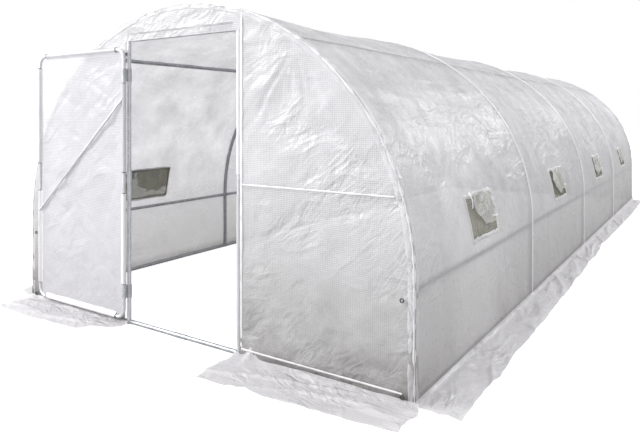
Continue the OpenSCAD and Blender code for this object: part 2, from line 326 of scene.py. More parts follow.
def weave_at(tree, cloth, pitch, low, high, smooth=False):
    """How far each place lies under a thread of a square weave with that pitch. low and high are the
    points on the wave from thread to thread between which the thread's edge runs."""
    apart = add(tree, "ShaderNodeSeparateXYZ", Vector=cloth)
    threads = []
    for axis in ("X", "Y"):
        wave = calc(tree, "COSINE", calc(tree, "MULTIPLY", apart.outputs[axis], 2 * math.pi / pitch))
        threads.append(spread(tree, wave, low, high, smooth=smooth))
    return calc(tree, "MAXIMUM", *threads)


def tinted(tree, share, colour, other):
    """Colour mixed towards another."""
    return add(tree, "ShaderNodeMix", {"data_type": "RGBA"}, _0=share, _6=colour, _7=other).outputs[2]


# The reinforcing tapes are 10 mm apart and 3 mm wide. The net's holes are drawn 6 mm apart, because
# the real 1.5 mm is too fine to show
TAPE_PITCH = 0.010
NET_PITCH = 0.006
# Crease patterns by size: swings in a metre, height in the relief and how much of a swing carries a painted
# highlight
CREASES = ((2.4, 4.2, 0.012), (7.5, 1.5, 0.022), (24.0, 0.30, 0.034))
# Painted shade darkens the film from about a metre up down to the ground, and a painted shadow lies thickest
# in the fold at the foot
SHADE_TOP = 1.0
FOOT_SHADOW = (0.02, 0.09)
FILM_IOR = 1.51


def film_material(name, clear, milk, tint, grid, crease, turn):
    """Polyethylene film with a woven reinforcing grid: milky, half translucent, with a soft sheen that
    breaks up over its creases, painted highlights along the creases' edges and painted shade that
    darkens it towards the ground, deepest in the fold at its foot. clear is the share that light
    passes straight through, milk the share of the rest that glows through, tint the dull and bright
    colours and the colour of the painted shade, grid how strongly the tapes show, crease how strongly
    the folds and their painted highlights show and turn the angle on the cloth that they run at."""
    material, tree, place = new_material(name)
    cloth = add(tree, "ShaderNodeUVMap", {"uv_map": "cloth"}).outputs["UV"]
    weave = weave_at(tree, cloth, TAPE_PITCH, 0.25, 0.85, smooth=True)
    # Creases a hand, a finger and a fingernail wide, with painted highlights along their edges, in patches
    patchy = spread(tree, clouds(tree, place, 2.6, 2.0), 0.42, 0.60, 0.12)
    relief = 0.0
    edges = 0.0
    for k, (scale, rise, width) in enumerate(CREASES):
        at = add(tree, "ShaderNodeMapping", {"vector_type": "TEXTURE"}, Vector=cloth,
                 Location=(2.3 * k, 1.1 * k, 0), Rotation=(0, 0, turn + 0.45 * (k - 1)),
                 Scale=(1.0, 0.42, 1.0)).outputs[0]
        rolling = clouds(tree, at, scale, 2.5, distortion=0.7)
        away = calc(tree, "ABSOLUTE", calc(tree, "SUBTRACT", rolling, 0.5))
        relief = calc(tree, "MULTIPLY_ADD", away, -rise * crease, relief)
        edge = spread(tree, away, 0.0, width, 1.0, 0.0, smooth=True)
        edges = calc(tree, "MAXIMUM", edge, edges)
    white = calc(tree, "MULTIPLY", calc(tree, "MULTIPLY", edges, patchy), 0.75 * crease, clamp=True)
    # Cloudy patches a hand wide where the film is handled and dusty
    cloud = clouds(tree, place, 4.5, 5.0, 0.6)
    fine = clouds(tree, place, 38.0, 4.0, 0.6)
    height = add(tree, "ShaderNodeSeparateXYZ", Vector=place).outputs["Z"]
    # Painted shade: darker towards the ground in cloudy patches, with a painted shadow in a band at the foot;
    # tint[2] is its colour
    low_shade = spread(tree, height, 0.0, SHADE_TOP, 1.45, 0.0)
    foot = spread(tree, height, *FOOT_SHADOW, 0.14, 0.0)
    painted_shade = calc(tree, "MULTIPLY_ADD", low_shade, cloud, foot, clamp=True)
    base = ramp(tree, cloud, (0.30, tint[0]), (0.70, tint[1]))
    # The white along the crease edges is painted highlight; the brighter tapes are the film's own pattern
    tape_and_highlight = calc(tree, "MAXIMUM", calc(tree, "MULTIPLY", weave, grid), white)
    colour = tinted(tree, painted_shade, tinted(tree, tape_and_highlight, base, linear("FFFFFF")), linear(tint[2]))
    rough = spread(tree, fine, 0.3, 0.7, 0.24, 0.42)
    relief = calc(tree, "MULTIPLY_ADD", relief, patchy, calc(tree, "MULTIPLY", weave, 0.03))
    bump = add(tree, "ShaderNodeBump", Strength=1.0, Distance=0.02, Height=relief).outputs["Normal"]
    skin = add(tree, "ShaderNodeBsdfPrincipled", Base_Color=colour, Roughness=rough, IOR=FILM_IOR,
               Normal=bump)
    glow = add(tree, "ShaderNodeBsdfTranslucent", Color=colour, Normal=bump)
    milky = add(tree, "ShaderNodeMixShader", _0=milk, _1=skin.outputs[0], _2=glow.outputs[0])
    gap = add(tree, "ShaderNodeBsdfTransparent", Color=linear("FFFFFF"))
    open_share = spread(tree, calc(tree, "MAXIMUM", weave, white), 0.0, 1.0, clear, clear * 0.35)
    mixed = add(tree, "ShaderNodeMixShader", _0=open_share, _1=milky.outputs[0], _2=gap.outputs[0])
    add(tree, "ShaderNodeOutputMaterial", Surface=mixed.outputs[0])
    return material


def steel_material(name, tones, rough_low, rough_high):
    """Hot-dip galvanised steel tube: mid grey, satin, with faint spangle a few millimetres across
    and dull white bloom where it has weathered."""
    material, tree, place = new_material(name)
    # Spangle about 8 mm across
    spangle = add(tree, "ShaderNodeTexVoronoi", Vector=place, Scale=120.0).outputs["Color"]
    shade = add(tree, "ShaderNodeSeparateColor", Color=spangle).outputs[0]
    bloom = clouds(tree, place, 14.0, 6.0, 0.65)
    mixed = calc(tree, "MULTIPLY_ADD", shade, 0.25, bloom)
    colour = ramp(tree, mixed, (0.35, tones[0]), (0.62, tones[1]), (0.85, tones[2]))
    rough = spread(tree, bloom, 0.3, 0.7, rough_low, rough_high)
    bump = add(tree, "ShaderNodeBump", Strength=0.12, Distance=0.0004, Height=mixed).outputs["Normal"]
    skin = add(tree, "ShaderNodeBsdfPrincipled", Base_Color=colour, Roughness=rough, Metallic=0.6,
               Normal=bump)
    add(tree, "ShaderNodeOutputMaterial", Surface=skin.outputs[0])
    return material


def net_material():
    """Knitted polyethylene fly net, dark olive: threads with see-through holes between them."""
    material, tree, place = new_material("knitted fly net")
    cloth = add(tree, "ShaderNodeUVMap", {"uv_map": "cloth"}).outputs["UV"]
    thread = weave_at(tree, cloth, NET_PITCH, -0.70, -0.25)
    colour = ramp(tree, clouds(tree, place, 9.0, 3.0), (0.3, "45453A"), (0.7, "6A6850"))
    skin = add(tree, "ShaderNodeBsdfPrincipled", Base_Color=colour, Roughness=0.7)
    gap = add(tree, "ShaderNodeBsdfTransparent", Color=linear("FFFFFF"))
    mixed = add(tree, "ShaderNodeMixShader", _0=thread, _1=gap.outputs[0], _2=skin.outputs[0])
    add(tree, "ShaderNodeOutputMaterial", Surface=mixed.outputs[0])
    return material


def clip_material():
    """Moulded polypropylene, dark grey, satin, as on the film clips and eyelets."""
    material, tree, place = new_material("dark polypropylene")
    grain = clouds(tree, place, 300.0, 3.0)
    colour = ramp(tree, grain, (0.35, "2E3032"), (0.65, "46484A"))
    bump = add(tree, "ShaderNodeBump", Strength=0.2, Distance=0.0003, Height=grain).outputs["Normal"]
    skin = add(tree, "ShaderNodeBsdfPrincipled", Base_Color=colour, Roughness=0.45, Normal=bump)
    add(tree, "ShaderNodeOutputMaterial", Surface=skin.outputs[0])
    return material


# Each film's share of clear and milky light, its dull and bright colours and the colour of its painted
# shade, and how strongly its grid and its creases show, with the creases' turn
cover_film = film_material("reinforced polyethylene film", 0.10, 0.40, ("BBBABD", "DDDCDF", "A2A09F"),
                           0.08, 0.45, 0.5)
wall_film = film_material("end wall film", 0.12, 0.40, ("CAC9CD", "E0DFE3", "7D7A77"), 0.50, 0.75, 0.8)
door_sheet = film_material("door film", 0.26, 0.40, ("DAD9DD", "E6E5E9", "EAE9ED"), 0.20, 0.24, 0.9)
flap_film = film_material("crumpled film", 0.10, 0.30, ("CFCED1", "E9E8EB", "D2D0D3"), 0.25, 1.00, 0.15)
seam_film = film_material("taped film seam", 0.0, 0.30, ("A4A3A6", "B9B8BB", "A09E9C"), 0.05, 0.60, 0.0)
window_film = film_material("thin window film", 0.22, 0.40, ("C9C9C4", "E4E4E0", "C0C0BA"),
                            0.15, 1.60, 0.6)
# Whiter, more opaque film: the real hems, beads and straps, and painted highlights on the hoop bands and the
# rail strips
hem_and_highlight_film = film_material("welded double film", 0.0, 0.18, ("E9E8EB", "F6F5F8", "E6E4E6"), 0.10, 0.35, 0.1)
frame_steel = steel_material("galvanised steel tube", ("8A8C90", "A2A5A9", "B8BABD"), 0.30, 0.46)
door_steel = steel_material("bright galvanised steel tube", ("BCBEC2", "CFD1D4", "E0E1E3"), 0.34, 0.50)
hinge_steel = steel_material("galvanised pressed steel", ("A4A6AA", "B8BABD", "CBCCCF"), 0.38, 0.55)
fly_net = net_material()
dark_plastic = clip_material()

# ---------------- frame nodes that stay

SOFT = ("film", "net", "skirt")
for node_name, node_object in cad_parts.items():
    if any(word in node_name for word in SOFT):
        continue
    bright = any(word in node_name for word in ("door_", "jamb", "head")) and node_name != "door_sill"
    steel = hinge_steel if "hinge" in node_name else door_steel if bright else frame_steel
    if not node_object.material_slots:
        node_object.data.materials.append(steel)
    for material_slot in node_object.material_slots:
        material_slot.material = steel

# ---------------- cover over the hoops

SECTION = hoop_length(FILM_OFF)
HALF_SECTION = SECTION / 2
S_SHOULDER = length_at(CROWN_Z + (CROWN_R + FILM_OFF) * math.sin(SHOULDER_ANGLE))
# Lengths up the section at which a tube holds the film out, from the right ground to the ridge, and
# how far the film sinks in between each two of them at the middle of a bay
HELD_AT = (0.0, SIDE_PURLIN_Z, S_SHOULDER, HALF_SECTION)
SINKS = (0.010, 0.050, 0.038)


def cover_shift(s, y):
    """How far the cover lies outside its plain shape, at length s and at y."""
    right = s <= HALF_SECTION
    up = np.where(right, s, SECTION - s)
    side = np.where(right, 0.0, 17.0)
    along = (y - FRONT_Y) / BAY_LEN
    t = np.clip(along - np.clip(np.floor(along), 0, BAYS - 1), 0, 1)
    span = np.sin(np.pi * t)
    bay = span ** 0.8
    sink = np.zeros(np.broadcast(up, y).shape)
    between = np.zeros_like(sink)
    for low, high, depth in zip(HELD_AT, HELD_AT[1:], SINKS):
        inside = (up >= low) & (up <= high)
        f = np.clip((up - low) / (high - low), 0, 1)
        sink = np.where(inside, -depth * np.sin(np.pi * f) ** 0.9, sink)
        between = np.where(inside, np.sin(np.pi * f) ** 0.6, between)
    # Long folds that the pull along the tunnel leaves under the ridge, strongest near the hoops
    high_up = ease(up, 1.05, 1.75)
    fan = up + 0.05 * np.sin(np.pi * t + 5 * side) + 0.05 * noise(y * 1.1, up * 2 + side, 11)
    folds = fold(noise(fan / 0.13, y * 0.55 + side, 3))
    near_hoop = 0.55 + 0.45 * np.cos(2 * np.pi * t)
    long_folds = 0.0130 * folds * high_up * (0.45 + 0.55 * near_hoop)
    fine = 0.0036 * fold(noise(fan / 0.045, y * 1.3 + side, 5)) * high_up
    # Loose creased film on the sides
    low_down = 1 - 0.55 * high_up
    creased = 0.0055 * crumple(y + side, up, 0.26, 21) * low_down
    # Drawn folds that hang down from the hoops
    hang = 0.0045 * noise(y / 0.07 + 0.6 * noise(y * 2, up * 3, 31), up * 1.1 + side, 33) * (1 - high_up)
    hang *= np.exp(-np.minimum(t, 1 - t) * BAY_LEN / 0.22)
    wrinkle = (long_folds + fine + creased + hang) * span ** 0.35 * (0.25 + 0.75 * between)
    return sink * bay + wrinkle


def cover_point(s, y, lift):
    """Points on the cover at length s and at y, with lift above its surface."""
    s, y, lift = np.broadcast_arrays(np.asarray(s, float), np.asarray(y, float), np.asarray(lift, float))
    x, z, nx, nz = hoop_line(s, FILM_OFF)
    out = cover_shift(s, y) + lift
    return x + nx * out, y, np.maximum(z + nz * out, LOWEST)


WINDOW_S = tuple(length_at(z) for z in WINDOW_Z)
# Lengths up the section that a row of the cover's points has to meet
ROW_MARKS = [HALF_SECTION]
for mark in (*HELD_AT[1:3], *WINDOW_S):
    ROW_MARKS += [mark, SECTION - mark]
CELL = 0.014


def window_span(bay):
    """Y of a bay's window edges."""
    centre = FRONT_Y + (bay + 0.5) * BAY_LEN
    return centre - WINDOW_W / 2, centre + WINDOW_W / 2


def cover_bay(bay):
    """Cover of one bay, with its two window openings cut out."""
    low = FRONT_Y + bay * BAY_LEN if bay else FRONT_FILM_Y
    high = FRONT_Y + (bay + 1) * BAY_LEN if bay < BAYS - 1 else BACK_FILM_Y
    y = stops(low, high, CELL, *window_span(bay))
    s = stops(0.0, SECTION, CELL, *ROW_MARKS)
    grid_s, grid_y = grid(s, y)
    mid_s, mid_y = (s[:-1] + s[1:]) / 2, (y[:-1] + y[1:]) / 2
    left, right = window_span(bay)
    in_y = (mid_y > left) & (mid_y < right)
    up = np.minimum(mid_s, SECTION - mid_s)
    in_s = (up > WINDOW_S[0]) & (up < WINDOW_S[1])
    keep = ~(in_s[:, None] & in_y[None, :])
    obj = make_sheet(f"cover_bay_{bay + 1}", cover_point(grid_s, grid_y, 0.0), grid_y, grid_s, cover_film,
                     keep=keep)
    flat_area(obj)
    return obj


covers = [cover_bay(bay) for bay in range(BAYS)]
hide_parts("roof_film", "wall_film_left", "wall_film_right",
            "eaves_film_left", "eaves_film_right")

# ---------------- bands over the hoops, whiter as a painted highlight

BAND_W = 0.028


def hoop_highlight_band(index):
    """Raised band of whiter film over a middle hoop, from ground to ground; its whiteness is a painted
    highlight of the film stretched over the tube.
    """
    s = stops(0.0, SECTION, 0.02)
    across = np.linspace(-1, 1, 9)
    grid_s, grid_a = grid(s, across)
    wave = 1 + 0.12 * noise(grid_s * 6, grid_a * 0, 50 + index)
    y = FRONT_Y + index * BAY_LEN + grid_a * BAND_W / 2 * wave
    lift = 0.0012 + 0.0050 * np.cos(grid_a * math.pi / 2) ** 0.8
    # The band's whiter film paints the highlight along the hoop
    obj = make_sheet(f"hoop_highlight_band_{index}", cover_point(grid_s, y, lift), y, grid_s, hem_and_highlight_film)


for index in range(1, BAYS):
    hoop_highlight_band(index)

# ---------------- end wall film


def inside_hoop(x, z):
    """How far a point of an end wall lies inside the cover's edge; below zero it is outside."""
    x = np.abs(x)
    on_leg = HALF_W - x
    to_haunch = HAUNCH_R - np.hypot(x - HAUNCH_X, z - LEG_H)
    to_crown = CROWN_R - np.hypot(x, z - CROWN_Z)
    crown_part = np.arctan2(z - CROWN_Z, x) > HAUNCH_ANGLE
    return np.where(z < LEG_H, on_leg, np.where(crown_part, to_crown, to_haunch)) + FILM_OFF


def edge_height(x):
    """Height of the cover's edge over an end wall at x."""
    x = np.abs(np.asarray(x, float))
    reach = np.maximum((HAUNCH_R + FILM_OFF) ** 2 - np.maximum(x - HAUNCH_X, 0) ** 2, 0)
    haunch = LEG_H + np.sqrt(reach)
    crown = CROWN_Z + np.sqrt(np.maximum((CROWN_R + FILM_OFF) ** 2 - x ** 2, 0))
    joint_x = HAUNCH_X + (HAUNCH_R + FILM_OFF) * math.cos(HAUNCH_ANGLE)
    return np.where(x < joint_x, crown, haunch)


def wall_shift(x, z, seed, rails, room):
    """How far an end wall's film bulges outwards, at most by room. Rails are heights where a tube
    backs the film."""
    held = np.minimum(np.abs(np.abs(x) - JAMB_X), np.abs(inside_hoop(x, z) - FILM_OFF))
    for rail in rails:
        held = np.minimum(held, np.abs(z - rail))
    free = ease(held, 0.008, 0.12)
    soft = crumple(x, z, 0.24, seed) * 0.0065
    # Fine folds that fan out from where the shoulder purlin pulls on the hoop
    from_x, from_z = np.abs(x) - SHOULDER_X, z - SHOULDER_Z
    reach = np.hypot(from_x, from_z)
    fan = np.arctan2(from_z, from_x) * 7.5 + 0.5 * noise(reach * 5, from_x * 3, seed + 5)
    drawn = noise(fan * 1.6, reach * 2.2, seed + 7)
    pulled = 0.0060 * fold(drawn) * np.exp(-reach / 0.55) * ease(reach, 0.03, 0.25)
    # Slack film over the ground
    foot = np.exp(-np.maximum(z, 0) / 0.12)
    slack = 0.012 * foot * (0.3 + 0.7 * noise(x / 0.16, z / 0.05, seed + 9))
    return np.clip((soft + pulled - 0.003) * free + np.clip(slack, 0, 0.009), -0.03, room)


def end_panel(name, x_range, z_low, facing, seed, step, rails, room):
    """Film of an end wall over a range of x, from z_low up to the hoop. facing is -1 at the front and
    1 at the back, and room is how far out it may bulge."""
    wall_y = FRONT_FILM_Y if facing < 0 else BACK_FILM_Y
    x = stops(*x_range, step, -HALF_W, HALF_W)
    count = round((edge_height(0) - z_low) / step)
    share = np.linspace(0, 1, count + 1)
    grid_x, grid_f = grid(x, share)
    z = z_low + (edge_height(grid_x) - z_low) * grid_f
    y = wall_y + facing * wall_shift(grid_x, z, seed, rails, room)
    return make_sheet(name, (grid_x, y, np.maximum(z, LOWEST)), grid_x, z, wall_film, flip=facing < 0)


EDGE_X = HALF_W + FILM_OFF
WALL_TOP = float(edge_height(0.0))
# The panels beside the doorway stop short of the jambs and their hinge clamps
PANEL_X = JAMB_X + 0.018
LEFT_RANGE, RIGHT_RANGE = (-EDGE_X, -PANEL_X), (PANEL_X, EDGE_X)
FRONT_RAILS = (0.0, MID_RAIL_Z, SHOULDER_Z)
# The left panel stays flatter than the others, clear of the opened door
FLAT_ROOM, SLACK_ROOM, TOP_ROOM = 0.003, 0.016, 0.006
front_left = end_panel("front_wall_left", LEFT_RANGE, 0.0, -1, 61, 0.012, FRONT_RAILS, FLAT_ROOM)
front_right = end_panel("front_wall_right", RIGHT_RANGE, 0.0, -1, 62, 0.010, FRONT_RAILS, SLACK_ROOM)
front_top = end_panel("front_wall_top", (-PANEL_X, PANEL_X), DOORWAY_Z, -1, 63, 0.010, (HEAD_Z,), TOP_ROOM)
back_wall = end_panel("back_wall", (-EDGE_X, EDGE_X), 0.0, 1, 64, 0.014, (0.0, MID_RAIL_Z), SLACK_ROOM)
SIDE_PANEL_SIZE = (EDGE_X - PANEL_X, float(edge_height(PANEL_X)))
for panel, node_name, (width, height) in (
    (front_left, "front_film_left", SIDE_PANEL_SIZE),
    (front_right, "front_film_right", SIDE_PANEL_SIZE),
    (front_top, "front_film_top", (2 * PANEL_X, WALL_TOP - DOORWAY_Z)),
    (back_wall, "back_film", (2 * EDGE_X, WALL_TOP)),
):
    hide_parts(node_name)
    panel_area = min(flat_area(panel), width * height)


def strip(name, points, outward, width, lift, material, edge_wave=0.001, seed=0):
    """Welded strip along a row of points: flat, with rounded edges, on the side that outward faces.
    Across it runs the direction square to both."""
    points = np.asarray(points, float)
    ahead = np.gradient(points, axis=0)
    ahead /= np.linalg.norm(ahead, axis=1, keepdims=True)
    outward = np.broadcast_to(np.asarray(outward, float), points.shape)
    across = np.cross(ahead, outward)
    across /= np.linalg.norm(across, axis=1, keepdims=True)
    run = np.concatenate([[0], np.cumsum(np.linalg.norm(np.diff(points, axis=0), axis=1))])
    share = np.linspace(-1, 1, 7)
    wave = 1 + edge_wave / width * 2 * noise(run / 0.03, run * 0, seed)
    side = share[None, :] * wave[:, None] * width / 2
    rise = lift * (1 - np.abs(share) ** 3) + 0.0004
    verts = (points[:, None, :] + across[:, None, :] * side[..., None]
             + outward[:, None, :] * rise[None, :, None])
    return make_sheet(name, np.moveaxis(verts, -1, 0), run[:, None], side, material)


def welded(name, points, outward, width, length, lift, material, **more):
    """Strip that is a sheet of its own, of that flat width. length is not used."""
    obj = strip(name, points, outward, width, lift, material, **more)


# How far the middle of a welded lip lies behind the middle of its tube: in front of it on the jambs
# and the head, where the wall's film runs over the tubes' fronts, and behind it on the leaf
WALL_LIP_BACK = -0.0165
LEAF_LIP_BACK = 0.0015
TUBE_FRONT = (0, -1, 0)


def pocket(name, start, end, inward, reach, roll, lip_back, material, body, seed):
    """Film folded round a straight tube from start to end and welded to itself on the inward side.
    reach is the lip's edge from the tube's middle, roll the fold's radius and lip_back how far behind
    the tube's middle the lip lies."""
    start, end, inward, outward = (np.asarray(v, float) for v in (start, end, inward, TUBE_FRONT))
    length = float(np.linalg.norm(end - start))
    share = np.linspace(0, 1, max(4, round(length / 0.02)) + 1)
    turn = np.linspace(math.radians(35), math.radians(325), 15)
    q = np.concatenate([[reach, reach * 0.8], roll * np.cos(turn), [reach * 0.8, reach]])
    p = np.concatenate([[0.0010, 0.0012], roll * np.sin(turn), [-0.0008, -0.0010]])
    p[:2] -= lip_back
    p[-2:] -= lip_back
    run = share * length
    pucker = 1 + 0.05 * noise(run[:, None] / 0.035, q[None, :] * 60, seed)
    base = start + (end - start) * share[:, None]
    verts = (base[:, None, :] + inward * (q[None, :] * pucker)[..., None]
             + outward * (p[None, :] * pucker)[..., None])
    over = np.concatenate([[0], np.cumsum(np.hypot(np.diff(q), np.diff(p)))])
    inside_out = bool(np.dot(np.cross(end - start, inward), outward) < 0)
    obj = make_sheet(name, np.moveaxis(verts, -1, 0), run[:, None], over[None, :], material, body,
                     flip=inside_out)


# The film is folded round the right jamb, in thinner film below its joint, and round the head rail
JAMB_ROLL = TUBE_R + 0.0034
JAMB_LIP, HEAD_LIP = 0.034, 0.036
JOINT_HALF = 0.06
JAMB_TOP = float(edge_height(JAMB_X)) - 0.03
HEAD_FOLD_X = DOORWAY_X - 0.02
for name, low, high, film, seed in (
    ("jamb_fold_upper", MID_RAIL_Z + JOINT_HALF, JAMB_TOP, hem_and_highlight_film, 80),
    ("jamb_fold_lower", 0.05, MID_RAIL_Z - JOINT_HALF, door_sheet, 81),
):
    pocket(name, (JAMB_X, FRONT_Y, low), (JAMB_X, FRONT_Y, high), (1, 0, 0),
           JAMB_LIP, JAMB_ROLL, WALL_LIP_BACK, film, "root", seed)
pocket("head_fold", (-HEAD_FOLD_X, FRONT_Y, HEAD_Z), (HEAD_FOLD_X, FRONT_Y, HEAD_Z), (0, 0, 1),
       HEAD_LIP, JAMB_ROLL, WALL_LIP_BACK, cover_film, "root", 82)


WALL_HIGHLIGHT_W = 0.010
WALL_HIGHLIGHT_RISE = 0.0022


def wall_highlight_strip(name, x_low, x_high, z, facing, seed, room=0.0):
    """Level raised strip of whiter film on an end wall, at most room further out than the film's plane. Its
    whiteness is a painted highlight of the film stretched over a rail.
    """
    wall_y = FRONT_FILM_Y if facing < 0 else BACK_FILM_Y
    x = stops(x_low, x_high, 0.02)
    y = np.full_like(x, wall_y + facing * (0.0012 + room))
    points = np.stack([x, y, np.full_like(x, z)], axis=1)
    welded(name, points, (0, facing, 0), WALL_HIGHLIGHT_W, x_high - x_low, WALL_HIGHLIGHT_RISE, hem_and_highlight_film, seed=seed)


# The raised highlight strips stop short of the hoops and the jambs
HEM_IN = 0.03
WALL_HIGHLIGHT_START = PANEL_X + 0.02
RAIL_END = float(HAUNCH_X + math.sqrt(HAUNCH_R ** 2 - (MID_RAIL_Z - LEG_H) ** 2)) - HEM_IN
for end_name, facing in (("front", -1), ("back", 1)):
    for side_name, side in (("left", -1), ("right", 1)):
        low, high = sorted((side * WALL_HIGHLIGHT_START, side * RAIL_END))
        # Strips along the mid rail: their whiter film paints the highlight where the film is stretched over
        # the rail
        wall_highlight_strip(f"{end_name}_rail_highlight_{side_name}", low, high, MID_RAIL_Z + 0.006, facing, 90)


# The end walls' film is rolled over the ground rail, with a raised strip along the roll whose whiter film is
# a painted highlight
BASE_HIGHLIGHT_Z = 0.052
BASE_HIGHLIGHT_X = 1.44
wall_highlight_strip("front_base_highlight_left", -1.40, -WALL_HIGHLIGHT_START, BASE_HIGHLIGHT_Z, -1, 96, -0.0003)
wall_highlight_strip("front_base_highlight_right", WALL_HIGHLIGHT_START, BASE_HIGHLIGHT_X, BASE_HIGHLIGHT_Z, -1, 97, 0.010)
wall_highlight_strip("back_base_highlight", -BASE_HIGHLIGHT_X, BASE_HIGHLIGHT_X, BASE_HIGHLIGHT_Z, 1, 98, 0.010)

# Upright welded edge of the right panel beside the doorway
EDGE_W = 0.014
EDGE_Z = (0.06, JAMB_TOP - 0.03)
edge_z = stops(*EDGE_Z, 0.02)
edge_x, edge_y = np.full_like(edge_z, PANEL_X + 0.012), np.full_like(edge_z, FRONT_FILM_Y - 0.0020)
welded("jamb_edge_right", np.stack([edge_x, edge_y, edge_z], axis=1), TUBE_FRONT, EDGE_W,
       EDGE_Z[1] - EDGE_Z[0], 0.0018, hem_and_highlight_film, edge_wave=0.002, seed=95)

# Taped seams of the cover over the shoulder purlins
SEAM_W = 0.014
for side_name, side_s in (("right", S_SHOULDER), ("left", SECTION - S_SHOULDER)):
    seam_y = stops(FRONT_Y + HEM_IN, BACK_Y - HEM_IN, 0.02)
    x, y, z = cover_point(side_s + 0.006 * noise(seam_y / 0.5, seam_y * 0, 99), seam_y, 0.0006)
    _, _, out_x, out_z = hoop_line(np.full_like(seam_y, side_s), FILM_OFF)
    welded(f"shoulder_seam_{side_name}", np.stack([x, y, z], axis=1),
           np.stack([out_x, out_x * 0, out_z], axis=1), SEAM_W, seam_y[-1] - seam_y[0], 0.0016, seam_film,
           edge_wave=0.004, seed=100)

# ---------------- rolled hems round the end hoops


BEAD_W = 0.010


def end_hem(name, hoop_y, facing, seed):
    """Film that wraps round an end hoop, and the welded bead along its outer edge."""
    s = stops(0.0, hoop_length(0.0), 0.012)
    roll = TUBE_R + 0.0042
    # Profile round the tube: over it from the roof's side, then flat on the wall inside the hoop
    turn = np.linspace(0, math.pi / 2, 9)
    radial = np.concatenate([[roll], roll * np.cos(turn), [-0.010, -0.018, -0.024]])
    outward = np.concatenate([[-0.020], roll * np.sin(turn), [roll + 0.0006, roll + 0.0002, roll - 0.0030]])
    grid_s, grid_r = grid(s, radial)
    grid_o = np.broadcast_to(outward, grid_r.shape)
    x, z, nx, nz = hoop_line(grid_s, 0.0)
    wave = 0.0016 * noise(grid_s / 0.05, grid_r * 30, seed)
    x = x + nx * (grid_r + wave)
    z = z + nz * (grid_r + wave)
    y = hoop_y + facing * (grid_o + 0.0012 * noise(grid_s / 0.035, grid_r * 40, seed + 1))
    run = np.concatenate([[0], np.cumsum(np.hypot(np.diff(radial), np.diff(outward)))])
    obj = make_sheet(name, (x, y, np.maximum(z, LOWEST)), grid_s, run, flap_film, flip=facing < 0)
    x, z, nx, nz = hoop_line(s, 0.0)
    lean = math.radians(48) + 0.12 * noise(s / 0.30, s * 0, seed + 3)
    out, ahead = (roll + 0.0018) * np.cos(lean), (roll + 0.0018) * np.sin(lean)
    points = np.stack([x + nx * out, hoop_y + facing * ahead, np.maximum(z + nz * out, 0.002)], axis=1)
    square = np.stack([nx * np.cos(lean), facing * np.sin(lean), nz * np.cos(lean)], axis=1)
    bead = strip(name.replace("hem", "bead"), points, square, BEAD_W, 0.0026, hem_and_highlight_film,
                 edge_wave=0.004, seed=seed + 4)


end_hem("front_hoop_hem", FRONT_Y, -1, 70)
end_hem("back_hoop_hem", BACK_Y, 1, 72)

# ---------------- door

# The leaf's film lies a little behind the middle of its tubes, clear of the brace
LEAF_FILM_Y = LEAF_Y + 0.0015
LEAF_ROLL = LEAF_R + 0.0026


# Room that the film leaves round each hinge: in from the stile, and up and down from its middle
NOTCH_IN, NOTCH_HALF = 0.020, 0.047
LEAF_W, LEAF_H = LEAF_X[1] - LEAF_X[0], LEAF_Z[1] - LEAF_Z[0]


def leaf_film():
    """Film panel of the leaf, with rounded corners and room round the hinges."""
    marks = [h + d for h in HINGE_Z for d in (-NOTCH_HALF, NOTCH_HALF)]
    z = stops(LEAF_Z[0], LEAF_Z[1], 0.009, *marks)
    notch_share = (LEAF_X[1] - NOTCH_IN - LEAF_X[0]) / LEAF_W
    share = stops(0.0, 1.0, 0.010, notch_share)
    end = np.minimum(z - LEAF_Z[0], LEAF_Z[1] - z)
    cut = LEAF_CORNER_R - np.sqrt(LEAF_CORNER_R ** 2 - np.maximum(LEAF_CORNER_R - end, 0) ** 2)
    grid_x = (LEAF_X[0] + cut)[:, None] + (LEAF_W - 2 * cut)[:, None] * share
    grid_z = np.broadcast_to(z[:, None], grid_x.shape)
    edge = np.minimum(np.minimum(grid_x - LEAF_X[0], LEAF_X[1] - grid_x),
                      np.minimum(grid_z - LEAF_Z[0], LEAF_Z[1] - grid_z))
    free = ease(edge, 0.015, 0.10)
    soft = 0.0050 * crumple(grid_x, grid_z, 0.22, 101)
    # Folds that slant from the hinge side down to the free side
    slant = noise((grid_x * 0.5 + grid_z * 0.86) / 0.08, (grid_x * 0.86 - grid_z * 0.5) * 1.6, 103)
    drawn = 0.0030 * fold(slant)
    y = LEAF_FILM_Y + np.clip((soft + drawn + 0.003) * free, -0.0015, 0.009)
    mid_x, mid_z = share[:-1] + np.diff(share) / 2, z[:-1] + np.diff(z) / 2
    near_hinge = np.min([np.abs(mid_z - h) for h in HINGE_Z], axis=0) < NOTCH_HALF
    notched = (mid_x > notch_share)[None, :] & near_hinge[:, None]
    obj = make_sheet("leaf_film", (grid_x, y, grid_z), grid_x, grid_z, door_sheet, "door",
                     keep=~notched)
    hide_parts("door_film")
    flat_area(obj)


leaf_film()
LEAF_MID_Z = (LEAF_Z[0] + LEAF_Z[1]) / 2
LEAF_LIP = 0.030
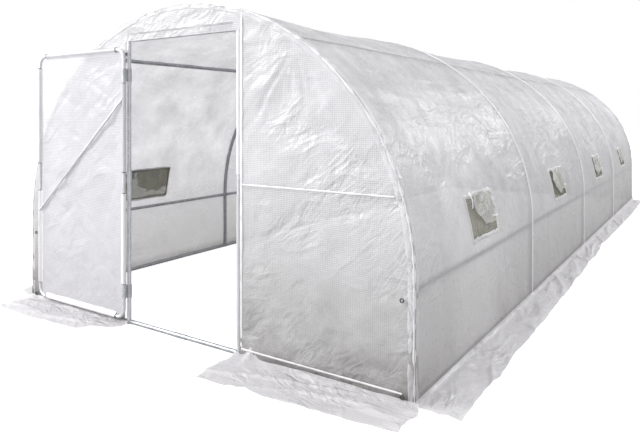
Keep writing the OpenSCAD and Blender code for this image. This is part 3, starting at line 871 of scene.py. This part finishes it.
# Level runs of the hem stop short of the leaf's bent corners, and upright ones of the corners, the
# hinges and the sleeves half way up
HEM_X = (LEAF_X[0] + 0.075, LEAF_X[1] - 0.075)
FREE_RUNS = ((LEAF_Z[0] + 0.09, LEAF_MID_Z - 0.10), (LEAF_MID_Z + 0.09, LEAF_Z[1] - 0.08))
HINGE_RUNS = ((HINGE_Z[0] + 0.05, LEAF_MID_Z - 0.06), (LEAF_MID_Z + 0.07, HINGE_Z[1] - 0.05))
STILES = (("free", LEAF_X[0], 1, FREE_RUNS), ("hinge", LEAF_X[1], -1, HINGE_RUNS))
for stile, stile_x, side, runs in STILES:
    for part, film, (low, high) in zip(("lower", "upper"), (hem_and_highlight_film, door_sheet), runs):
        pocket(f"leaf_hem_{stile}_{part}", (stile_x, LEAF_Y, low), (stile_x, LEAF_Y, high),
               (side, 0, 0), LEAF_LIP, LEAF_ROLL, LEAF_LIP_BACK, film, "door", 110)
for part, rail_z, side, film in (("bottom", LEAF_Z[0], 1, hem_and_highlight_film), ("top", LEAF_Z[1], -1, door_sheet)):
    pocket(f"leaf_hem_{part}", (HEM_X[0], LEAF_Y, rail_z), (HEM_X[1], LEAF_Y, rail_z),
           (0, 0, side), LEAF_LIP, LEAF_ROLL, LEAF_LIP_BACK, film, "door", 115)

# ---------------- ground flaps


LUMP_H = 0.015
FLAP_TOP = 0.045
# In front the flaps stay low enough for the leaf to pass over them
FRONT_FLAP_TOP = 0.024


def ground_flap(name, start, end, outward, widths, seed, node_name, step=0.010, top=FLAP_TOP, bunch_at=None):
    """Film flap that lies on the ground from start to end of a wall's foot. widths are its reaches
    at even steps along it, and top is the highest that its creases rise."""
    start, end = (*start, 0.0), (*end, 0.0)
    start, end, outward = (np.asarray(v, float) for v in (start, end, outward))
    length = float(np.linalg.norm(end - start))
    run = stops(0.0, length, step)
    across = np.linspace(0, 1, max(8, round(max(widths) / step)) + 1)
    reach = np.interp(run / length, np.linspace(0, 1, len(widths)), widths)
    reach = reach + 0.010 * noise(run / 0.30, run * 0, seed) + 0.003 * noise(run / 0.05, run * 0, seed + 1)
    grid_run, grid_f = grid(run, across)
    out = grid_f * reach[:, None]
    # Long creases that slant away from the wall, with flat film between them
    bent = out + 0.22 * grid_run + 0.03 * noise(grid_run * 3, out * 6, seed + 2)
    creases = np.maximum(0, fold(noise(bent / 0.085, grid_run * 1.6, seed + 3), 3.0))
    small = np.maximum(0, crumple(grid_run, out, 0.10, seed + 4))
    lying = ease(out, 0.0, 0.05)
    rim = 0.003 * noise(grid_run / 0.12, out * 9, seed + 6) * ease(grid_f, 0.75, 1.0)
    strong = noise(grid_run / 0.4, out * 2, seed + 5) > -0.2
    lump = LUMP_H * creases * (0.35 + 0.65 * strong) + 0.45 * LUMP_H * small
    foot = 0.026 * np.exp(-out / 0.014)
    z = np.minimum(0.0018 + foot + lump * lying + np.maximum(rim, 0), top)
    if bunch_at is not None:
        # Film gathered into a crumpled bunch against the wall
        near = np.exp(-((grid_run - bunch_at) / 0.032) ** 2 - (out / 0.030) ** 2)
        z = z + 0.055 * near * (0.75 + 0.5 * noise(grid_run / 0.012, out / 0.012, seed + 11))
    ahead = (end - start) / length
    ends = np.minimum(grid_run, length - grid_run)
    slip = 0.012 * noise(out / 0.06, grid_run * 0 + seed, seed + 8) * np.exp(-ends / 0.08)
    x = start[0] + ahead[0] * (grid_run + slip) + outward[0] * out
    y = start[1] + ahead[1] * (grid_run + slip) + outward[1] * out
    turned = ahead[0] * outward[1] - ahead[1] * outward[0] > 0
    obj = make_sheet(name, (x, y, z), grid_run, out, flap_film, flip=turned)
    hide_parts(node_name)
    flat_area(obj)


FLAP_GAP = 0.002
FLAP_X = EDGE_X + FLAP_GAP
FRONT_FLAP_Y = FRONT_FILM_Y - FLAP_GAP
BACK_FLAP_Y = BACK_FILM_Y + FLAP_GAP
ground_flap("flap_front_right", (DOORWAY_X, FRONT_FLAP_Y), (EDGE_X + 0.03, FRONT_FLAP_Y), (0, -1, 0),
            (0.305, 0.30, 0.285, 0.25, 0.235), 120, "skirt_front_right", top=FRONT_FLAP_TOP, bunch_at=0.115)
ground_flap("flap_front_left", (-EDGE_X, FRONT_FLAP_Y), (-DOORWAY_X, FRONT_FLAP_Y), (0, -1, 0),
            (0.255, 0.26, 0.265, 0.255, 0.235, 0.06), 130, "skirt_front_left", top=FRONT_FLAP_TOP)
ground_flap("flap_right", (FLAP_X, FRONT_Y - 0.03), (FLAP_X, BACK_Y), (1, 0, 0),
            (0.215, 0.20, 0.20, 0.185, 0.155, 0.15, 0.165, 0.17, 0.13), 140, "skirt_right")
ground_flap("flap_left", (-FLAP_X, BACK_Y), (-FLAP_X, FRONT_Y), (-1, 0, 0),
            (0.17, 0.19, 0.20, 0.18, 0.17, 0.19, 0.20, 0.20), 150, "skirt_left")
ground_flap("flap_back", (EDGE_X, BACK_FLAP_Y), (-EDGE_X, BACK_FLAP_Y), (0, 1, 0),
            (0.25, 0.265, 0.26, 0.27, 0.25), 160, "skirt_back", step=0.012)

# ---------------- windows

CORNER_R = 0.016
CORNER_STEPS = 5
SIDE_STEPS = 24
# The border's profile: how far each row lies outside the opening's edge, and over the cover
RIM_OFFSETS = (-0.012, -0.007, 0.001, 0.008, 0.014)
RIM_LIFTS = (0.0016, 0.0045, 0.0062, 0.0045, 0.0004)
# The net reaches so far past the opening
NET_GROW = 0.003
STRAP_W, TIE_W = 0.018, 0.014
STRAP_IN = 0.075


def window_path(y_low, y_high, s_low, s_high, offset):
    """Closed path of a rounded rectangle on the cover, grown by an offset, with even point counts
    at every offset."""
    y, s = [], []
    radius = CORNER_R + offset
    for centre_y, centre_s, start in (
        (y_high - CORNER_R, s_high - CORNER_R, 0), (y_low + CORNER_R, s_high - CORNER_R, 90),
        (y_low + CORNER_R, s_low + CORNER_R, 180), (y_high - CORNER_R, s_low + CORNER_R, 270),
    ):
        for angle in np.radians(start + np.linspace(0, 90, CORNER_STEPS + 1)):
            y.append(centre_y + radius * math.cos(angle))
            s.append(centre_s + radius * math.sin(angle))
    y, s = np.array(y), np.array(s)
    full_y, full_s = [], []
    for k in range(len(y)):
        after = (k + 1) % len(y)
        cuts = SIDE_STEPS if (k + 1) % (CORNER_STEPS + 1) == 0 else 1
        for part in range(cuts):
            full_y.append(y[k] + (y[after] - y[k]) * part / cuts)
            full_s.append(s[k] + (s[after] - s[k]) * part / cuts)
    return np.array(full_y + full_y[:1]), np.array(full_s + full_s[:1])


def window(bay, side_name):
    """Window of a bay on one side: welded border, fly net, creased film flap over part of it, a strap
    over its top and a tie at its far edge."""
    y_low, y_high = window_span(bay)
    s_low, s_high = WINDOW_S
    on_right = side_name == "right"
    seed = 200 + 10 * bay + (0 if on_right else 5)
    label = f"{side_name}_{bay + 1}"

    def place(s, y, lift):
        return cover_point(s if on_right else SECTION - np.asarray(s, float), y, lift)

    paths = [window_path(y_low, y_high, s_low, s_high, offset) for offset in RIM_OFFSETS]
    rim_y = np.stack([path[0] for path in paths], axis=1)
    rim_s = np.stack([path[1] for path in paths], axis=1)
    wave = 0.0065 * noise(rim_y / 0.045, rim_s / 0.045, seed)
    wave[-1] = wave[0]
    rim_place = place(rim_s + wave, rim_y + wave, np.broadcast_to(RIM_LIFTS, rim_s.shape) + 0.0003)
    rim = make_sheet(f"window_border_{label}", rim_place, rim_y, rim_s, flap_film, flip=not on_right)

    net_y = stops(y_low - NET_GROW, y_high + NET_GROW, 0.012)
    net_s = stops(s_low - NET_GROW, s_high + NET_GROW, 0.012)
    grid_s, grid_y = grid(net_s, net_y)
    edge = np.minimum(np.minimum(grid_y - y_low, y_high - grid_y),
                      np.minimum(grid_s - s_low, s_high - grid_s))
    slack = -0.0030 - 0.004 * ease(edge, 0, 0.08) * (1 + noise(grid_y / 0.08, grid_s / 0.08, seed + 1))
    net = make_sheet(f"window_net_{label}", place(grid_s, grid_y, slack), grid_y, grid_s, fly_net,
                     flip=not on_right)

    # The flap is fixed along the window's far edge and lies in creases over part of the net
    across, up = np.linspace(0, 1, 42), np.linspace(0, 1, 30)
    grid_u, grid_a = grid(up, across)
    bulge = 0.30 * np.sin(np.pi * np.clip(0.25 + 0.8 * (1 - grid_u), 0, 1))
    cover_share = 0.50 + 0.06 * bay + bulge + 0.07 * noise(grid_u * 4, grid_u * 0, seed + 2)
    flap_y = y_high + 0.005 - (y_high - y_low) * cover_share * grid_a
    bottom = s_low + 0.070 - 0.020 * grid_a + 0.016 * noise(grid_a * 4, grid_a * 0, seed + 3)
    flap_s = bottom + (s_high + 0.006 - bottom) * grid_u
    folds = 0.009 * crumple(flap_y, flap_s, 0.09, seed + 4)
    folds = folds + 0.006 * noise(flap_y / 0.05, flap_s / 0.09, seed + 5)
    hung = ease(grid_a, 0.0, 0.15)
    flap_place = place(flap_s, flap_y, 0.0015 + hung * np.clip(0.006 + folds, 0.001, 0.016))
    flap = make_sheet(f"window_flap_{label}", flap_place, flap_y, flap_s, window_film, flip=on_right)

    for kind, path_s, path_y, width in (
        ("strap", np.linspace(s_high + 0.020, s_high - STRAP_IN, 16), np.full(16, y_low + STRAP_IN), STRAP_W),
        ("tie", np.full(12, (s_low + s_high) / 2 - 0.03),
         np.linspace(y_high + 0.012, y_high - STRAP_IN, 12), TIE_W),
    ):
        curl = 0.0085 + 0.010 * np.sin(np.linspace(0, np.pi, len(path_s)))
        x, y, z = place(path_s, path_y, curl)
        ahead_x, _, ahead_z = place(path_s, path_y, curl + 0.01)
        outward = np.stack([ahead_x - x, np.zeros_like(x), ahead_z - z], axis=1) / 0.01
        strip(f"window_{kind}_{label}", np.stack([x, y, z], axis=1), outward, width, 0.0015,
                            hem_and_highlight_film, edge_wave=0.0012, seed=seed + 6)
    width, height = y_high - y_low, s_high - s_low
    flap_area = max(flat_area(flap), 0.3 * width * height)
    return net


for side_name in ("right", "left"):
    nets = [window(bay, side_name) for bay in range(BAYS)]
    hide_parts(f"window_nets_{side_name}")

# ---------------- eyelets and clips


def ring_tree():
    """Geometry nodes that put a ring at each point of a mesh, its axis along the point's facing."""
    tree = bpy.data.node_groups.new("rings on points", "GeometryNodeTree")
    sockets = (("Points", "Geometry"), ("Ring Radius", "Float"), ("Bead Radius", "Float"),
               ("Finish", "Material"))
    for label, kind in sockets:
        tree.interface.new_socket(label, in_out="INPUT", socket_type=f"NodeSocket{kind}")
    tree.interface.new_socket("Rings", in_out="OUTPUT", socket_type="NodeSocketGeometry")
    given = add(tree, "NodeGroupInput").outputs
    circle = "GeometryNodeCurvePrimitiveCircle"
    line = add(tree, circle, Resolution=18, Radius=given["Ring Radius"]).outputs[0]
    bead = add(tree, circle, Resolution=8, Radius=given["Bead Radius"]).outputs[0]
    ring = add(tree, "GeometryNodeCurveToMesh", Curve=line, Profile_Curve=bead).outputs[0]
    facing = add(tree, "GeometryNodeInputNamedAttribute", {"data_type": "FLOAT_VECTOR"}, Name="facing")
    turned = add(tree, "FunctionNodeAlignRotationToVector", {"axis": "Z"}, Vector=facing.outputs[0])
    placed = add(tree, "GeometryNodeInstanceOnPoints", Points=given["Points"], Instance=ring,
                 Rotation=turned.outputs[0])
    plain = add(tree, "GeometryNodeRealizeInstances", Geometry=placed.outputs[0]).outputs[0]
    finished = add(tree, "GeometryNodeSetMaterial", Geometry=plain, Material=given["Finish"])
    add(tree, "NodeGroupOutput", Rings=finished.outputs[0])
    return tree


RINGS = ring_tree()


def rings(name, places, ring_r, bead_r, finish, body):
    """Rings at (point, axis) places as one plain mesh that rides on a body."""
    mesh = bpy.data.meshes.new(name + "_points")
    mesh.from_pydata([point for point, _ in places], [], [])
    facing = mesh.attributes.new("facing", "FLOAT_VECTOR", "POINT")
    facing.data.foreach_set("vector", np.array([axis for _, axis in places], np.float32).ravel())
    points = bpy.data.objects.new(name + "_points", mesh)
    bpy.context.collection.objects.link(points)
    modifier = points.modifiers.new("rings", "NODES")
    modifier.node_group = RINGS
    values = {"Ring Radius": ring_r, "Bead Radius": bead_r, "Finish": finish}
    for item in RINGS.interface.items_tree:
        if item.in_out == "INPUT" and item.name in values:
            modifier[item.identifier] = values[item.name]
    evaluated = points.evaluated_get(bpy.context.evaluated_depsgraph_get())
    made = bpy.data.meshes.new_from_object(evaluated)
    bpy.data.objects.remove(points)
    made.name = name
    made.shade_smooth()
    obj = bpy.data.objects.new(name, made)
    bpy.context.collection.objects.link(obj)
    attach(obj, body)
    return obj


EYELET_X = 1.438
EYELET_Z = (0.035, 0.47)
EYELET_OUT = 0.0085
eyelet_places = [
    ((side * EYELET_X, end_y + facing * EYELET_OUT, z), (0, facing, 0))
    for end_y, facing in ((FRONT_FILM_Y, -1), (BACK_FILM_Y, 1))
    for side in (-1, 1)
    for z in EYELET_Z
]
rings("film_eyelets", eyelet_places, 0.0085, 0.0030, dark_plastic, "root")
clip_places = [((x, LEAF_Y, z), (0, 0, 1)) for _, x, _, runs in STILES for run in runs for z in run]
clip_places += [((x, LEAF_Y, z), (1, 0, 0)) for z in LEAF_Z for x in HEM_X]
rings("leaf_clips", clip_places, LEAF_ROLL + 0.0012, 0.0018, dark_plastic, "door")

# ---------------- stage, light and camera

FLOOR = 60.0
floor_mesh = bpy.data.meshes.new("floor")
floor_corners = [(-FLOOR, -FLOOR, 0), (FLOOR, -FLOOR, 0), (FLOOR, FLOOR, 0), (-FLOOR, FLOOR, 0)]
floor_mesh.from_pydata(floor_corners, [], [(0, 1, 2, 3)])
floor = bpy.data.objects.new("floor", floor_mesh)
bpy.context.collection.objects.link(floor)
floor_material, floor_tree, _ = new_material("matt white floor")
direct = add(floor_tree, "ShaderNodeLightPath").outputs["Is Camera Ray"]
floor_glow = spread(floor_tree, direct, 0.0, 1.0, 0.12, 0.80)
floor_skin = add(floor_tree, "ShaderNodeBsdfPrincipled", Base_Color=linear("B4B4B4"), Roughness=0.9,
                 Emission_Color=linear("FFFFFF"), Emission_Strength=floor_glow)
add(floor_tree, "ShaderNodeOutputMaterial", Surface=floor_skin.outputs[0])
floor_mesh.materials.append(floor_material)

# The studio's soft light, strongest from above and from the front left, under a white backdrop
world = bpy.data.worlds.new("studio")
world.use_nodes = True
sky_tree = world.node_tree
sky_tree.nodes.clear()
around = add(sky_tree, "ShaderNodeTexCoord").outputs["Generated"]
toward = add(sky_tree, "ShaderNodeSeparateXYZ", Vector=around)
softness = 0.66
for axis, share in (("X", -0.14), ("Y", -0.14), ("Z", 1.00)):
    softness = calc(sky_tree, "MULTIPLY_ADD", toward.outputs[axis], share, softness)
seen = add(sky_tree, "ShaderNodeLightPath").outputs["Is Camera Ray"]
strength = spread(sky_tree, seen, 0.0, 1.0, softness, 1.0)
sky = add(sky_tree, "ShaderNodeBackground", Color=(1, 1, 1, 1), Strength=strength)
add(sky_tree, "ShaderNodeOutputWorld", Surface=sky.outputs[0])
bpy.context.scene.world = world


def area_light(name, place, target, size, power):
    """Soft square light that faces a point."""
    data = bpy.data.lights.new(name, "AREA")
    data.size = size
    data.energy = power
    light = bpy.data.objects.new(name, data)
    light.location = place
    ahead_x, ahead_y, ahead_z = np.subtract(target, place)
    tilt = math.atan2(math.hypot(ahead_x, ahead_y), -ahead_z)
    light.rotation_euler = (tilt, 0, math.atan2(ahead_y, ahead_x) - math.pi / 2)
    bpy.context.collection.objects.link(light)


area_light("key", (-8.0, -9.0, 5.5), (0, -3, 0.9), 4.0, 1150)
area_light("rake", (6.0, 8.5, 7.0), (1.5, 0, 0.9), 4.0, 600)

scene = bpy.context.scene
scene.view_settings.view_transform = "Standard"
camera_data = bpy.data.cameras.new("camera")
camera_data.lens = 33.73
camera_data.sensor_width = 36.0
camera_data.shift_y = -0.157
camera = bpy.data.objects.new("camera", camera_data)
camera.location = (2.622, -6.470, 1.297)
camera.rotation_euler = (math.radians(90), 0, math.radians(33.6))
bpy.context.collection.objects.link(camera)
scene.camera = camera
